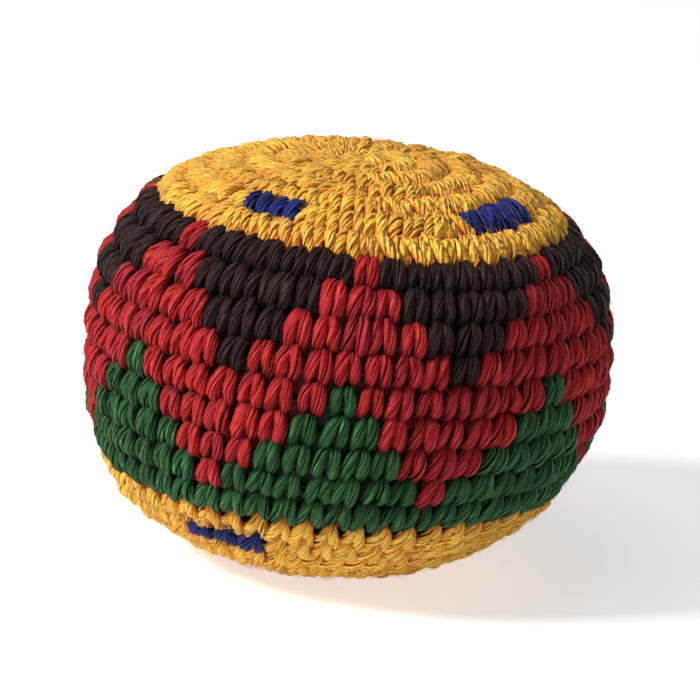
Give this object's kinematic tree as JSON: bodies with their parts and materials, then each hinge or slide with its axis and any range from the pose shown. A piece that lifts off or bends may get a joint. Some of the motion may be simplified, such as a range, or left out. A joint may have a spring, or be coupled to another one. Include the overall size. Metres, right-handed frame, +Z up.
{
  "type": "footbag",
  "caption": "Squat round footbag in tapestry crochet with a plain crown and base, zigzag colour bands and small accent blocks, filled with loose pellets.",
  "frame": {"origin": "on the flat resting face, under the crown's centre", "axes": "+Z up through the crown's centre, -Y towards the front"},
  "size_m": [0.055, 0.055, 0.0432],
  "materials": {
    "yellow_yarn": "matte twisted acrylic yarn with a soft sheen",
    "brown_yarn": "matte twisted acrylic yarn, very dark brown",
    "red_yarn": "matte twisted acrylic yarn with a soft sheen",
    "green_yarn": "matte twisted acrylic yarn with a soft sheen",
    "blue_yarn": "matte twisted acrylic yarn, dark blue",
    "pellets": "small loose plastic pellets"
  },
  "bodies": {
    "root": {"crown_yarn": "yellow_yarn", "crown_accent_1": "blue_yarn", "crown_accent_2": "blue_yarn", "crown_accent_3": "blue_yarn", "crown_accent_4": "blue_yarn", "brown_field_1": "brown_yarn", "brown_field_2": "brown_yarn", "brown_field_3": "brown_yarn", "brown_field_4": "brown_yarn", "brown_field_5": "brown_yarn", "brown_field_6": "brown_yarn", "brown_field_7": "brown_yarn", "red_zigzag": "red_yarn", "green_band": "green_yarn", "base_yarn": "yellow_yarn", "base_accent_1": "blue_yarn", "base_accent_2": "blue_yarn", "base_accent_3": "blue_yarn", "start_ring": "yellow_yarn", "closing_ring": "yellow_yarn", "finishing_knot": "yellow_yarn", "pellet_fill": "pellets"}
  },
  "joints": []
}
